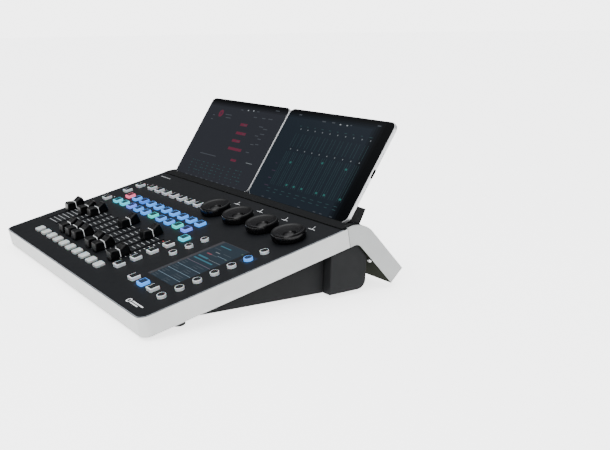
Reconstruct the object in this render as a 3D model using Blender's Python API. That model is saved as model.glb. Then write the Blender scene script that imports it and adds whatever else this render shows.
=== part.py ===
"""Lighting control desk with two docked tablets. Metres, +Z up, front towards -Y.

The sloping control surface has its own frame: x to the right from the middle, y up the slope
from the row of flash keys, z out of the surface. All lengths below are millimetres.
"""

import math

import bmesh
import bpy
from mathutils import Matrix, Vector

MM = 0.001
PITCH = 22.7  # spacing of the faders and of the keys
TILT = math.radians(12.0)
MID_U = 7.058  # pitches from the first flash key to the middle of the desk
Y_SHIFT = -146.08
Z_SHIFT = 33.6

HALF_W = 218.7
WALL = 2.7
FRONT_Y = -33.8
SEAM_Y = 241.0
BAND = 23.8
CORNER_R = 11.0
PANEL_TOP = -0.4
PANEL_UNDER = -3.0
PANEL_REAR = 235.4

BEND_R = 35.1
BEND = math.radians(58.2)
BEND_Y = 247.4  # the rear cover starts to bend here
HOOD_LEN = 73.1  # flat length of the cover's slope after the bend

TABLET_TILT = math.radians(44.7)
TABLET_X = 1.4
TABLET_Y = 248.4
TABLET_W = 203.4
TABLET_GAP = 1.2
TABLET_LOW = 0.9
TABLET_HIGH = 134.9
TABLET_T = 6.6

FADER_LOW = 27.6
FADER_HIGH = 87.6
FADER_U = (-1.67, 0, 1, 2, 3, 4, 5, 6, 7, 8, 9)
FADER_AT = (70.4, 75.0, 80.8, 27.6, 27.6, 27.6, 87.0, 27.6, 27.6, 85.9, 27.6)

WHEEL_U = (8.04, 10.38, 12.72, 15.06)
WHEEL_Y = 184.8
WHEEL_R = 20.7

BLOCK_FRONT = 216.1
BLOCK_REAR = 269.9
BLOCK_LOW = -28.3
BLOCK_HALF = 215.4
BLOCK_R = 11.3
TUB_HALF = 204.1

SWITCH_DEPTH = 2.0  # the rocker turns this far inside the rear wall

# colour, metallic, roughness, transmission
LOOKS = {
    "silver_paint": ((0.66, 0.66, 0.65), 0.55, 0.38, 0.0),
    "panel_black": ((0.020, 0.022, 0.026), 0.0, 0.55, 0.0),
    "charcoal_paint": ((0.035, 0.036, 0.036), 0.1, 0.5, 0.0),
    "key_white": ((0.74, 0.78, 0.82), 0.0, 0.4, 0.2),
    "cap_black": ((0.015, 0.015, 0.016), 0.0, 0.38, 0.0),
    "wheel_black": ((0.018, 0.018, 0.02), 0.0, 0.35, 0.0),
    "screen_glass": ((0.012, 0.015, 0.02), 0.0, 0.08, 0.0),
    "tablet_metal": ((0.55, 0.56, 0.58), 0.9, 0.3, 0.0),
    "socket_black": ((0.02, 0.02, 0.02), 0.0, 0.45, 0.0),
    "socket_metal": ((0.5, 0.5, 0.5), 1.0, 0.35, 0.0),
    "board_green": ((0.02, 0.09, 0.04), 0.0, 0.5, 0.0),
    "steel": ((0.55, 0.55, 0.55), 1.0, 0.4, 0.0),
    "foot_rubber": ((0.012, 0.012, 0.012), 0.0, 0.8, 0.0),
}


def clear_scene():
    for obj in list(bpy.data.objects):
        bpy.data.objects.remove(obj, do_unlink=True)


def frame_empty(name, tilt):
    empty = bpy.data.objects.new(name, None)
    empty.location = (0, Y_SHIFT * MM, Z_SHIFT * MM)
    empty.rotation_euler = (tilt, 0, 0)
    bpy.context.scene.collection.objects.link(empty)
    return empty


def make_looks():
    for name, (colour, metallic, roughness, transmission) in LOOKS.items():
        material = bpy.data.materials.new(name)
        material.use_nodes = True
        shader = material.node_tree.nodes["Principled BSDF"]
        shader.inputs["Base Color"].default_value = (*colour, 1.0)
        shader.inputs["Metallic"].default_value = metallic
        shader.inputs["Roughness"].default_value = roughness
        shader.inputs["Transmission Weight"].default_value = transmission


def x_of(u):
    return (u - MID_U) * PITCH


def obj_from(bm, name):
    bmesh.ops.recalc_face_normals(bm, faces=bm.faces)
    mesh = bpy.data.meshes.new(name)
    bm.to_mesh(mesh)
    bm.free()
    obj = bpy.data.objects.new(name, mesh)
    bpy.context.scene.collection.objects.link(obj)
    return obj


def prism(points, low, high, axis="x", name="piece"):
    """A closed prism. axis x: points are (y, z); y: (x, z); z: (x, y)."""
    bm = bmesh.new()
    place = {
        "x": lambda a, b, c: (c, a, b),
        "y": lambda a, b, c: (a, c, b),
        "z": lambda a, b, c: (a, b, c),
    }[axis]
    rings = [
        [bm.verts.new(Vector(place(a, b, c)) * MM) for a, b in points]
        for c in (low, high)
    ]
    count = len(points)
    bm.faces.new(rings[0][::-1])
    bm.faces.new(rings[1])
    for i in range(count):
        j = (i + 1) % count
        bm.faces.new((rings[0][i], rings[0][j], rings[1][j], rings[1][i]))
    return obj_from(bm, name)


def box(x0, x1, y0, y1, z0, z1):
    return prism([(x0, y0), (x1, y0), (x1, y1), (x0, y1)], z0, z1, "z")


def ring(cx, cy, r, n, turn=0.0):
    return [
        (cx + r * math.cos(turn + 2 * math.pi * i / n), cy + r * math.sin(turn + 2 * math.pi * i / n))
        for i in range(n)
    ]


def arc(cx, cy, r, a0, a1, n):
    return [
        (cx + r * math.cos(a0 + (a1 - a0) * i / n), cy + r * math.sin(a0 + (a1 - a0) * i / n))
        for i in range(n + 1)
    ]


def lathe(profile, segments):
    """A solid of revolution about z from (radius, z) points that start and end on the axis."""
    bm = bmesh.new()
    rows = []
    for r, z in profile:
        if r == 0:
            rows.append([bm.verts.new(Vector((0, 0, z)) * MM)])
        else:
            rows.append([bm.verts.new(Vector((px, py, z)) * MM) for px, py in ring(0, 0, r, segments)])
    for a, b in zip(rows, rows[1:]):
        for i in range(segments):
            j = (i + 1) % segments
            face = [a[i % len(a)], a[j % len(a)], b[j % len(b)], b[i % len(b)]]
            bm.faces.new(list(dict.fromkeys(face)))
    return obj_from(bm, "piece")


def tapered(cx, cy, half_low, half_high, z0, z1, z2):
    """A square key: straight from z0 to z1, drawn in to half_high at z2."""
    bm = bmesh.new()
    rows = []
    for half, z in ((half_low, z0), (half_low, z1), (half_high, z2)):
        rows.append(
            [
                bm.verts.new(Vector((cx + sx * half, cy + sy * half, z)) * MM)
                for sx, sy in ((-1, -1), (1, -1), (1, 1), (-1, 1))
            ]
        )
    bm.faces.new(rows[0][::-1])
    bm.faces.new(rows[2])
    for a, b in zip(rows, rows[1:]):
        for i in range(4):
            j = (i + 1) % 4
            bm.faces.new((a[i], a[j], b[j], b[i]))
    return obj_from(bm, "piece")


def moved(obj, x=0.0, y=0.0, z=0.0, turn=None):
    matrix = Matrix.Translation(Vector((x, y, z)) * MM)
    if turn is not None:
        matrix = matrix @ turn
    obj.data.transform(matrix)
    return obj


def combine(base, others, operation):
    for other in others:
        modifier = base.modifiers.new("cut", "BOOLEAN")
        modifier.operation = operation
        modifier.solver = "EXACT"
        modifier.object = other
    bpy.context.view_layer.update()
    graph = bpy.context.evaluated_depsgraph_get()
    mesh = bpy.data.meshes.new_from_object(base.evaluated_get(graph))
    base.modifiers.clear()
    base.data = mesh
    for other in others:
        bpy.data.objects.remove(other, do_unlink=True)
    return base


def join(base, *others):
    return combine(base, others, "UNION")


def cut(base, *others):
    return combine(base, others, "DIFFERENCE")


def finish(obj, name, look, frame="slope", at=(0, 0, 0), tilt=0.0):
    """Names the piece and sets its origin at a point of its frame; a tilted piece is given in its own axes."""
    origin = Vector(at) * MM
    if not tilt:
        obj.data.transform(Matrix.Translation(-origin))
    obj.location = origin
    obj.rotation_euler = (tilt, 0, 0)
    obj.parent = bpy.data.objects[frame]
    obj.data.materials.clear()
    obj.data.materials.append(bpy.data.materials[look])
    obj.data.shade_smooth()
    obj.data.set_sharp_from_angle(angle=math.radians(32))
    obj.name = name
    obj.data.name = name
    return obj


def rounded_front(half, front, rear, radius, n=6):
    points = [(half, rear), (-half, rear)]
    points += arc(-half + radius, front + radius, radius, math.pi, 1.5 * math.pi, n)
    points += arc(half - radius, front + radius, radius, 1.5 * math.pi, 2 * math.pi, n)
    return points


def rounded_rect(x0, x1, y0, y1, r, n=4):
    points = []
    for cx, cy, a in (
        (x1 - r, y1 - r, 0.0),
        (x0 + r, y1 - r, 0.5 * math.pi),
        (x0 + r, y0 + r, math.pi),
        (x1 - r, y0 + r, 1.5 * math.pi),
    ):
        points += arc(cx, cy, r, a, a + 0.5 * math.pi, n)
    return points


def front_frame():
    frame = prism(rounded_front(HALF_W, FRONT_Y, SEAM_Y, CORNER_R), -BAND, 0, "z")
    inner = HALF_W - WALL
    lip = inner - 4
    frame = cut(
        frame,
        prism(rounded_front(inner, FRONT_Y + WALL, SEAM_Y + 20, CORNER_R - WALL), -3.3, 5, "z"),
        prism(rounded_front(lip, FRONT_Y + WALL + 4, SEAM_Y + 20, CORNER_R - WALL - 4), -30, 4, "z"),
        prism(rounded_front(inner, FRONT_Y + WALL, SEAM_Y + 20, CORNER_R - WALL), -40, -4.6, "z"),
    )
    return finish(frame, "front_frame", "silver_paint")


def hood_profile(outer, inner, start, tip_in, n):
    """The bent band in (y, z); outer and inner are insets from the two faces."""
    cy, cz = BEND_Y, -BEND_R
    top = BEND_R - outer
    low = BEND_R - BAND + inner
    length = HOOD_LEN - tip_in
    out_dir = Vector((math.sin(BEND), math.cos(BEND)))
    run = Vector((math.cos(BEND), -math.sin(BEND)))
    points = [(start, cz + top)]
    points += arc(cy, cz, top, 0.5 * math.pi, 0.5 * math.pi - BEND, n)
    centre = Vector((cy, cz))
    points.append(tuple(centre + out_dir * top + run * length))
    points.append(tuple(centre + out_dir * low + run * length))
    points += arc(cy, cz, low, 0.5 * math.pi - BEND, 0.5 * math.pi, n)
    points.append((start, cz + low))
    return points


def rear_cover():
    cover = prism(hood_profile(0, 0, SEAM_Y + 0.4, 0, 10), -HALF_W, HALF_W, "x")
    inner = HALF_W - WALL
    cover = cut(
        cover,
        prism(hood_profile(WALL, WALL, SEAM_Y - 10, WALL, 8), -inner, inner, "x"),
        box(-215.7, 215.7, SEAM_Y - 5, 263.0, -12, 5),
    )
    return finish(cover, "rear_cover", "silver_paint")


def key_sites():
    """name: (shape, half size, [(x, y), ...]) for every key and strip of keys."""
    small = 6.1
    sites = {
        "flash_keys": ("square", 6.6, [(x_of(i), 0.0) for i in range(10)]),
        "playback_keys_front": ("square", small, [(x_of(i), 125.3) for i in range(10)]),
        "playback_keys_rear": ("square", small, [(x_of(i), 146.5) for i in range(10)]),
        "page_keys": ("square", small, [(x_of(i), 184.6) for i in range(7)]),
        "cue_keys": ("round", 5.1, [(x_of(11.3), y) for y in (75.7, 98.4, 121.0)]),
        "screen_keys": ("round", 5.3, [(x_of(15.45), 8.1 + 22.5 * i) for i in range(7)]),
    }
    for i in range(5):
        sites[f"function_key_{i + 1}"] = ("square", small, [(x_of(10.08), 16.5 + 22.9 * i)])
    for i in range(3):
        sites[f"menu_key_{i + 1}"] = ("square", small, [(x_of(12.31 + 1.01 * i), 11.1)])
    for i, y in enumerate((121.4, 157.0, 179.8)):
        sites[f"master_key_{i + 1}"] = ("square", small, [(x_of(-1.36), y)])
    return sites


KEY_TOP, ROUND_TOP, FLASH_TOP = 3.3, 2.9, 2.6
MAT_TOP, MAT_LOW = -3.6, -5.0


def key_nodes():
    for name, (shape, half, spots) in key_sites().items():
        xs = [s[0] for s in spots]
        ys = [s[1] for s in spots]
        rim = half + 1.7
        top = FLASH_TOP if name == "flash_keys" else ROUND_TOP if shape == "round" else KEY_TOP
        mat = box(min(xs) - rim, max(xs) + rim, min(ys) - rim, max(ys) + rim, MAT_LOW, MAT_TOP)
        keys = []
        for x, y in spots:
            if shape == "square":
                keys.append(tapered(x, y, half, half - 0.8, -4.5, top - 0.8, top))
            else:
                keys.append(
                    moved(
                        lathe([(0, -4.5), (half, -4.5), (half, top - 0.6), (half - 0.6, top), (0, top)], 16),
                        x, y,
                    )
                )
        middle = ((min(xs) + max(xs)) / 2, (min(ys) + max(ys)) / 2, 0)
        finish(join(mat, *keys), name, "key_white", at=middle)


def fader_x(i):
    return x_of(FADER_U[i])


def top_panel():
    panel = prism(
        rounded_front(HALF_W - WALL - 0.3, FRONT_Y + WALL + 0.3, PANEL_REAR, CORNER_R - WALL - 0.3),
        PANEL_UNDER, PANEL_TOP, "z",
    )
    cutters = []
    for shape, half, spots in key_sites().values():
        hole = half + 0.5
        for x, y in spots:
            if shape == "square":
                cutters.append(box(x - hole, x + hole, y - hole, y + hole, -6, 2))
            else:
                cutters.append(prism(ring(x, y, hole + 0.1, 16), -6, 2, "z"))
    for i in range(11):
        x = fader_x(i)
        cutters.append(box(x - 1.5, x + 1.5, FADER_LOW - 5, FADER_HIGH + 5, -6, 2))
    for u in WHEEL_U:
        cutters.append(prism(ring(x_of(u), WHEEL_Y, 4.2, 12), -6, 2, "z"))
    cutters.append(box(*DISPLAY, -6, 2))
    return finish(cut(panel, *cutters), "top_panel", "panel_black")


DISPLAY = (x_of(12.27), x_of(14.76), 28.6, 134.6)


def display():
    x0, x1, y0, y1 = DISPLAY
    glass = box(x0 + 0.3, x1 - 0.3, y0 + 0.3, y1 - 0.3, -2.9, -0.5)
    finish(glass, "display_glass", "screen_glass")
    module = box(x0 - 1.5, x1 + 1.5, y0 - 2, y1 + 2, -11.5, -3.4)
    module = join(module, box(x0 + 8, x1 - 8, y0 + 20, y1 - 30, -14, -11))
    finish(module, "display_module", "steel")


def boards():
    board = box(-208, 208, -25, 229, -8.4, -7.0)
    x0, x1, y0, y1 = DISPLAY
    board = cut(
        board,
        box(-220, x_of(9) + 10, 18.5, 97, -12, -5),
        box(x0 - 3.5, x1 + 3.5, y0 - 4.5, y1 + 4.5, -12, -5),
    )
    blocks, holes = [], []
    for u in WHEEL_U:
        x = x_of(u)
        blocks.append(box(x - 7, x + 7, WHEEL_Y - 7, WHEEL_Y + 7, -12, -3.6))
        holes.append(prism(ring(x, WHEEL_Y, 3.5, 12), -10.6, 0, "z"))
    finish(cut(join(board, *blocks), *holes), "key_board", "board_green")

    plate = box(fader_x(0) - 8, fader_x(10) + 8, 18.5, 96.5, -22.1, -20.7)
    rails, slots = [], []
    for i in range(11):
        x = fader_x(i)
        rails.append(box(x - 5.2, x + 5.2, 19.6, 95.6, -21.3, -4.9))
        slots.append(box(x - 1.9, x + 1.9, FADER_LOW - 6, FADER_HIGH + 6, -17.5, 0))
    finish(cut(join(plate, *rails), *slots), "fader_board", "board_green")

    main = box(-88, 184, 100, 206, -18.5, -17.0)
    main = join(
        main,
        box(-56, -18, 132, 168, -17.5, -9),
        box(18, 42, 124, 148, -17.5, -14.8),
        box(54, 78, 132, 156, -17.5, -14.8),
        box(110, 164, 180, 189, -17.5, -10),
        box(-74, -28, 190, 198, -17.5, -10),
    )
    finish(main, "main_board", "board_green", "level")

    supply = box(-190, -104, 172, 238, -22.5, -3)
    supply = join(supply, box(-180, -138, 237, 241, -18, -9))
    finish(supply, "power_supply", "steel", "level")


def fader_caps():
    side = [
        (-14.3, 0.6), (15.6, 0.6), (14.6, 7.2), (12.9, 13.0), (11.3, 14.7), (9.4, 14.8), (4.4, 12.0),
        (0.6, 10.7), (-0.8, 10.7), (-4.4, 11.6), (-8.6, 12.2), (-10.8, 11.9), (-12.1, 10.6), (-13.2, 6.4),
    ]
    for i, y in enumerate(FADER_AT):
        cap = prism(side, -6.8, 6.8, "x")
        cap = join(cap, box(-0.8, 0.8, -3, 3, -13.5, 3))
        finish(moved(cap, fader_x(i), y), f"fader_{i + 1:02d}", "cap_black", at=(fader_x(i), y, 0))


def wheels():
    profile = [
        (0, 9.9), (8, 10.0), (15, 10.4), (18.2, 11.2), (19.6, 10.8), (20.5, 9.2), (WHEEL_R, 6.4),
        (20.4, 2.4), (19.3, 0.5), (3.0, 0.5), (3.0, -10.0), (0, -10.0),
    ]
    for i, u in enumerate(WHEEL_U):
        wheel = lathe(profile[::-1], 32)
        dimple = lathe([(0, 5.0), (3.8, 5.6), (6.6, 7.6), (8.2, 10.6), (8.6, 12.2), (8.6, 16.0), (0, 16.0)], 20)
        moved(dimple, 9.9, -4.7)
        wheel = moved(cut(wheel, dimple), x_of(u), WHEEL_Y)
        finish(wheel, f"encoder_wheel_{i + 1}", "wheel_black", at=(x_of(u), WHEEL_Y, 0))


def level_to_slope(y, z):
    c, s = math.cos(TILT), math.sin(TILT)
    return (y * c + z * s, -y * s + z * c)


def slope_to_level(y, z):
    c, s = math.cos(TILT), math.sin(TILT)
    return (y * c - z * s, y * s + z * c)


def base_housing():
    flange = prism(rounded_front(BLOCK_HALF, FRONT_Y + 3.1, 215.4, 8.7), -23.7, -22.4, "z")
    low_front = level_to_slope(4.0, -21.75)
    low_rear = level_to_slope(214.8, -28.05)
    top_rear = level_to_slope(214.8, 25.0)
    outer = [low_front, low_rear, top_rear]
    depth = (low_rear[0] - low_front[0], low_rear[1] - low_front[1])
    size = math.hypot(*depth)
    inward = (-depth[1] / size * 2.3, depth[0] / size * 2.3)
    far = 1.2
    inner = [
        (low_front[0] + inward[0], low_front[1] + inward[1]),
        (low_front[0] + inward[0] + depth[0] * far, low_front[1] + inward[1] + depth[1] * far),
        (low_front[0] + inward[0] + depth[0] * far, 60.0),
        (low_front[0] + inward[0], 60.0),
    ]
    tub = prism(outer, -TUB_HALF, TUB_HALF, "x")
    tub = cut(tub, box(-230, 230, -50, 320, -23.0, 60))
    housing = join(flange, tub)
    housing = cut(housing, prism(inner, -TUB_HALF + 2.3, TUB_HALF - 2.3, "x"))
    finish(housing, "base_housing", "charcoal_paint")


def block_profile(inset):
    """The rear housing's side outline in the level frame, drawn in by inset."""
    r = BLOCK_R - inset
    front, rear, low = BLOCK_FRONT + inset, BLOCK_REAR - inset, BLOCK_LOW + inset
    points = [(front, low)]
    points += arc(rear - r, low + r, r, 1.5 * math.pi, 2 * math.pi, 6)
    run = Vector((math.cos(BEND), -math.sin(BEND)))
    out_dir = Vector((math.sin(BEND), math.cos(BEND)))
    radius = BEND_R - BAND - 0.4 - inset
    start = Vector((BEND_Y, -BEND_R)) + out_dir * radius
    y0, _ = slope_to_level(*start)
    y1, _ = slope_to_level(*(start + run))
    steps = (rear - y0) / (y1 - y0)
    points.append(slope_to_level(*(start + run * steps)))
    points += [slope_to_level(y, z) for y, z in arc(BEND_Y, -BEND_R, radius, 0.5 * math.pi - BEND, 0.5 * math.pi, 6)]
    edge = -BEND_R + radius
    points.append((front, front * math.tan(TILT) + edge / math.cos(TILT)))
    return points


REAR_Z = -5.2
SOCKETS = {
    "power_inlet": (-158.0, 29.0, 21.5),
    "power_switch": (-112.0, 13.6, 20.4),
    "network_socket": (42.0, 17.6, 15.6),
    "usb_socket": (78.0, 14.6, 8.0),
}
ROUND_SOCKETS = {"dmx_socket_a": -60.0, "dmx_socket_b": -18.0}


def rear_housing():
    block = prism(block_profile(0), -BLOCK_HALF, BLOCK_HALF, "x")
    hollow = prism(block_profile(2.8), -BLOCK_HALF + 2.8, BLOCK_HALF - 2.8, "x")
    mouth = box(-202, 202, BLOCK_FRONT - 5, BLOCK_FRONT + 8, BLOCK_LOW + 3.0, 12)
    cutters = [mouth]
    for x, w, h in SOCKETS.values():
        cutters.append(box(x - w / 2, x + w / 2, BLOCK_REAR - 6, BLOCK_REAR + 6, REAR_Z - h / 2, REAR_Z + h / 2))
    for x in ROUND_SOCKETS.values():
        cutters.append(prism(ring(x, REAR_Z, 12.0, 20), BLOCK_REAR - 6, BLOCK_REAR + 6, "y"))
    finish(cut(cut(block, hollow), *cutters), "rear_housing", "charcoal_paint", "level")


def sockets():
    y = BLOCK_REAR
    x, w, h = SOCKETS["power_inlet"]
    z = REAR_Z
    inlet = box(x - w / 2 + 0.3, x + w / 2 - 0.3, y - 24, y + 1, z - h / 2 + 0.3, z + h / 2 - 0.3)
    inlet = join(inlet, box(x - 17, x + 17, y + 0.3, y + 2.3, z - 13.5, z + 13.5))
    inlet = cut(inlet, prism(
        [(x - 12, z - 8), (x + 12, z - 8), (x + 12, z + 4), (x + 8, z + 8), (x - 8, z + 8), (x - 12, z + 4)],
        y - 15, y + 6, "y",
    ))
    pins = [box(x + dx - 1, x + dx + 1, y - 16, y - 2, z + dz - 2, z + dz + 2) for dx, dz in ((-7, -2), (0, 2), (7, -2))]
    finish(join(inlet, *pins), "power_inlet", "socket_black", "level")

    x, w, h = SOCKETS["network_socket"]
    net = box(x - w / 2 + 0.3, x + w / 2 - 0.3, y - 18, y + 1, z - h / 2 + 0.3, z + h / 2 - 0.3)
    net = join(net, box(x - 10.5, x + 10.5, y + 0.3, y + 1.8, z - 9.5, z + 9.5))
    net = cut(net, box(x - 6, x + 6, y - 12, y + 6, z - 4.5, z + 3.5), box(x - 3, x + 3, y - 12, y + 6, z + 3, z + 6))
    finish(net, "network_socket", "socket_black", "level")

    x, w, h = SOCKETS["usb_socket"]
    usb = box(x - w / 2 + 0.3, x + w / 2 - 0.3, y - 15, y + 1, z - h / 2 + 0.3, z + h / 2 - 0.3)
    usb = join(usb, box(x - 9, x + 9, y + 0.3, y + 1.5, z - 5.5, z + 5.5))
    usb = cut(usb, box(x - 6.2, x + 6.2, y - 10, y + 6, z - 2.5, z + 2.5))
    usb = join(usb, box(x - 5.4, x + 5.4, y - 11, y - 1, z + 0.2, z + 1.9))
    finish(usb, "usb_socket", "socket_metal", "level")

    for name, x in ROUND_SOCKETS.items():
        plate = prism(rounded_rect(x - 13, x + 13, z - 14.0, z + 14.0, 3, 2), y + 0.3, y + 2.3, "y")
        barrel = prism(ring(x, z, 11.6, 20), y - 20, y + 1, "y")
        well = prism(ring(x, z, 10.2, 20), y - 10, y + 6, "y")
        core = prism(ring(x, z, 7.8, 16), y - 12, y - 1.5, "y")
        finish(join(cut(join(plate, barrel), well), core), name, "socket_metal", "level")

    x, w, h = SOCKETS["power_switch"]
    half = h / 2 - 0.8
    rocker = prism(
        [(y - 8, z - 6), (y - 2, z - half), (y + 0.9, z - half), (y + 1.1, z - 2), (y + 3.6, z + half), (y - 2, z + half), (y - 8, z + 6)],
        x - w / 2 + 0.5, x + w / 2 - 0.5, "x",
    )
    finish(rocker, "power_switch", "socket_black", "level", at=(x, BLOCK_REAR - SWITCH_DEPTH, z))


def docked(points):
    """(h, b) pairs, along the tablet's face and behind it, as (y, z) on the slope."""
    c, s = math.cos(TABLET_TILT), math.sin(TABLET_TILT)
    return [(TABLET_Y + h * c + b * s, h * s - b * c) for h, b in points]


def tablet_rest():
    lip = [(235.8, -8.0), (235.8, 1.3), (249.2, 1.3)]
    side = lip + docked([(0.5, -0.4), (0.5, 7.1), (26.7, 7.1), (29.7, 20.4), (10.1, 22.6)])
    side += [(267.2, -5.4), (262.6, -2.8), (262.6, -8.0)]
    rest = prism(side, -203, 203, "x")
    strip = box(-215.4, 215.4, 235.8, SEAM_Y - 0.2, -3.0, 1.3)
    floor = lip + docked([(0.5, -0.4), (0.5, 7.5)]) + [(262.6, -5.4), (262.6, -8.0)]
    floor = prism(floor, -207.6, 207.6, "x")
    end = [(235.8, -3.0), (235.8, 1.3), (245.0, 1.2), (252.0, 0.4), (258.0, -1.0), (262.6, -2.7), (262.6, -6.4), (243.0, -6.4)]
    end.append((243.0, -3.0))
    left_end, right_end = prism(end, -215.4, -203.4, "x"), prism(end, 206.2, 215.4, "x")
    finish(join(rest, floor, strip, left_end, right_end), "tablet_rest", "panel_black")


def tablets():
    height = TABLET_HIGH - TABLET_LOW
    low_y, low_z = docked([(TABLET_LOW, 0)])[0]
    for side, x0 in (("left", TABLET_X - TABLET_GAP / 2 - TABLET_W), ("right", TABLET_X + TABLET_GAP / 2)):
        body = prism(rounded_rect(0, TABLET_W, 0, height, 9, 5), -TABLET_T, 0, "z")
        tray = prism(rounded_rect(1.1, TABLET_W - 1.1, 1.1, height - 1.1, 7.9, 5), -1.1, 2, "z")
        mid_h, mid_t = height / 2, -TABLET_T / 2
        port = box(TABLET_W - 6, TABLET_W + 2, mid_h - 4.3, mid_h + 4.3, mid_t - 1.3, mid_t + 1.3)
        glass = prism(rounded_rect(1.35, TABLET_W - 1.35, 1.35, height - 1.35, 7.65, 5), -0.8, -0.05, "z")
        at = (x0, low_y, low_z)
        finish(cut(body, tray, port), f"tablet_{side}_case", "tablet_metal", at=at, tilt=TABLET_TILT)
        finish(glass, f"tablet_{side}_glass", "screen_glass", at=at, tilt=TABLET_TILT)


def feet():
    for side, sx in (("left", -1), ("right", 1)):
        foot = lathe([(0, -Z_SHIFT), (8.3, -Z_SHIFT), (9, -Z_SHIFT + 1.5), (9, -23.0), (0, -23.0)], 20)
        finish(moved(foot, sx * 190, 26.5), f"foot_front_{side}", "foot_rubber", "level", at=(sx * 190, 26.5, 0))
        foot = lathe([(0, -Z_SHIFT), (8.3, -Z_SHIFT), (9, -Z_SHIFT + 1), (9, BLOCK_LOW - 0.3), (0, BLOCK_LOW - 0.3)], 20)
        finish(moved(foot, sx * 176, 243), f"foot_rear_{side}", "foot_rubber", "level", at=(sx * 176, 243, 0))


def hood_screws():
    out_dir = Vector((math.sin(BEND), math.cos(BEND)))
    run = Vector((math.cos(BEND), -math.sin(BEND)))
    spot = Vector((BEND_Y, -BEND_R)) + out_dir * (BEND_R - BAND - 0.3) + run * 27
    turn = Matrix.Rotation(math.pi - BEND, 4, "X")
    for side, sx in (("left", -1), ("right", 1)):
        screw = lathe([(0, 0), (2.6, 0), (2.6, 1.6), (2.1, 2.2), (0, 2.2)], 12)
        at = (sx * (HALF_W - 4.4), spot[0], spot[1])
        finish(moved(screw, *at, turn), f"hood_screw_{side}", "steel", at=at)


clear_scene()
make_looks()
frame_empty("slope", TILT)
frame_empty("level", 0.0)
front_frame()
rear_cover()
top_panel()
display()
boards()
key_nodes()
fader_caps()
wheels()
base_housing()
rear_housing()
sockets()
tablet_rest()
tablets()
feet()
hood_screws()
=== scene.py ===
"""The looks of the lighting control desk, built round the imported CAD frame. Metres, +Z up.

Lengths below are millimetres. The slope frame has x to the right from the middle, y up the control
panel from the row of flash keys and z out of the panel; the level frame has the same origin, upright.
"""

import math
import random

import bmesh
import bpy
from mathutils import Matrix, Vector


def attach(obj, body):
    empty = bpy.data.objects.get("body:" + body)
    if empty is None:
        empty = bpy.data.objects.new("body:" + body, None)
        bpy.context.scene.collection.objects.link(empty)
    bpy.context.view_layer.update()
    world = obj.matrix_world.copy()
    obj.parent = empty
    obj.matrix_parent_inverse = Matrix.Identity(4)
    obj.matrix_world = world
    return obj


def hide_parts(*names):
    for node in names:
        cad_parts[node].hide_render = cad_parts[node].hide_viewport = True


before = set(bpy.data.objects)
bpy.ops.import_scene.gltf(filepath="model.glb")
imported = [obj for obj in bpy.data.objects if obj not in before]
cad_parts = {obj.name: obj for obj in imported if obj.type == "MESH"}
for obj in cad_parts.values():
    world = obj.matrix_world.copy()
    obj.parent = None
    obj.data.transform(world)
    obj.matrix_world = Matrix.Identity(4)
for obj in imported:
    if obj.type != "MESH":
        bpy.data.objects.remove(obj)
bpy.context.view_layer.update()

MM = 0.001
QUARTER = 0.5 * math.pi
PITCH, MID_U = 22.7, 7.058  # spacing of the fader and key columns, and the middle counted in columns
TILT = math.radians(12.0)  # slope of the panel
Y_SHIFT, Z_SHIFT = -146.08, 33.6  # from the world's origin to the slope frame's

# the frame round the panel
HALF_W, WALL, FRONT_Y, SEAM_Y, BAND, CORNER_R = 218.7, 2.7, -33.8, 241.0, 23.8, 11.0
EDGE = 0.45  # rounding of the sheet metal's edges
PANEL_TOP, PANEL_UNDER, PANEL_REAR = -0.4, -3.0, 235.4
CUT_LOW, CUT_HIGH = -6, 2  # reach of the tools that cut through the panel

# the cover's bend and the hood behind it
BEND_R, BEND, BEND_Y, HOOD_LEN = 35.1, math.radians(58.2), 247.4, 73.1
BEND_AT = Vector((BEND_Y, -BEND_R))
OUTWARD, RUN = Vector((math.sin(BEND), math.cos(BEND))), Vector((math.cos(BEND), -math.sin(BEND)))

# the docked tablets: middle line, foot line, size, and lower and upper edge along their slope
TABLET_TILT = math.radians(44.7)
TABLET_X, TABLET_Y, TABLET_W, TABLET_GAP = 1.4, 248.4, 203.4, 1.2
TABLET_LOW, TABLET_HIGH, TABLET_T = 0.9, 134.9, 6.6

# faders: ends of the travel, columns and places at rest
FADER_LOW, FADER_HIGH = 27.6, 87.6
FADER_U = (-1.67, 0, 1, 2, 3, 4, 5, 6, 7, 8, 9)
FADER_AT = (70.4, 75.0, 80.8, 27.6, 27.6, 27.6, 87.0, 27.6, 27.6, 85.9, 27.6)
CAP_HALF, CAP_EDGE = 6.8, 1.7

# wheels and their finger dimples
WHEEL_U, WHEEL_Y, WHEEL_R = (8.04, 10.38, 12.72, 15.06), 184.8, 20.7
DIMPLE_AT, DIMPLE_R = (9.9, -4.7), 8.7

# housings, in the level frame apart from the wedge's width
BLOCK_FRONT, BLOCK_REAR, BLOCK_LOW, BLOCK_HALF, BLOCK_R = 216.1, 269.9, -28.3, 215.4, 11.3
TUB_HALF = 204.1
REAR_Z = -5.2  # height of the rear sockets' middles

LEVEL = Matrix.Translation((0, Y_SHIFT * MM, Z_SHIFT * MM))
SLOPE = LEVEL @ Matrix.Rotation(TILT, 4, "X")


def x_of(u):
    return (u - MID_U) * PITCH


def on_panel(u, y):
    """The frame of a moving piece that stands at column u."""
    return SLOPE @ Matrix.Translation(Vector((x_of(u), y, 0)) * MM)


# ---------------------------------------------------------------- mesh helpers


def place(axis, a, b, c):
    """Outline coordinates (a, b) and the length c along axis, as x, y, z."""
    return {"x": (c, a, b), "y": (a, c, b), "z": (a, b, c)}[axis]


def to_object(bm, name="piece"):
    bmesh.ops.recalc_face_normals(bm, faces=bm.faces)
    mesh = bpy.data.meshes.new(name)
    bm.to_mesh(mesh)
    bm.free()
    obj = bpy.data.objects.new(name, mesh)
    bpy.context.scene.collection.objects.link(obj)
    return obj


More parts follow.
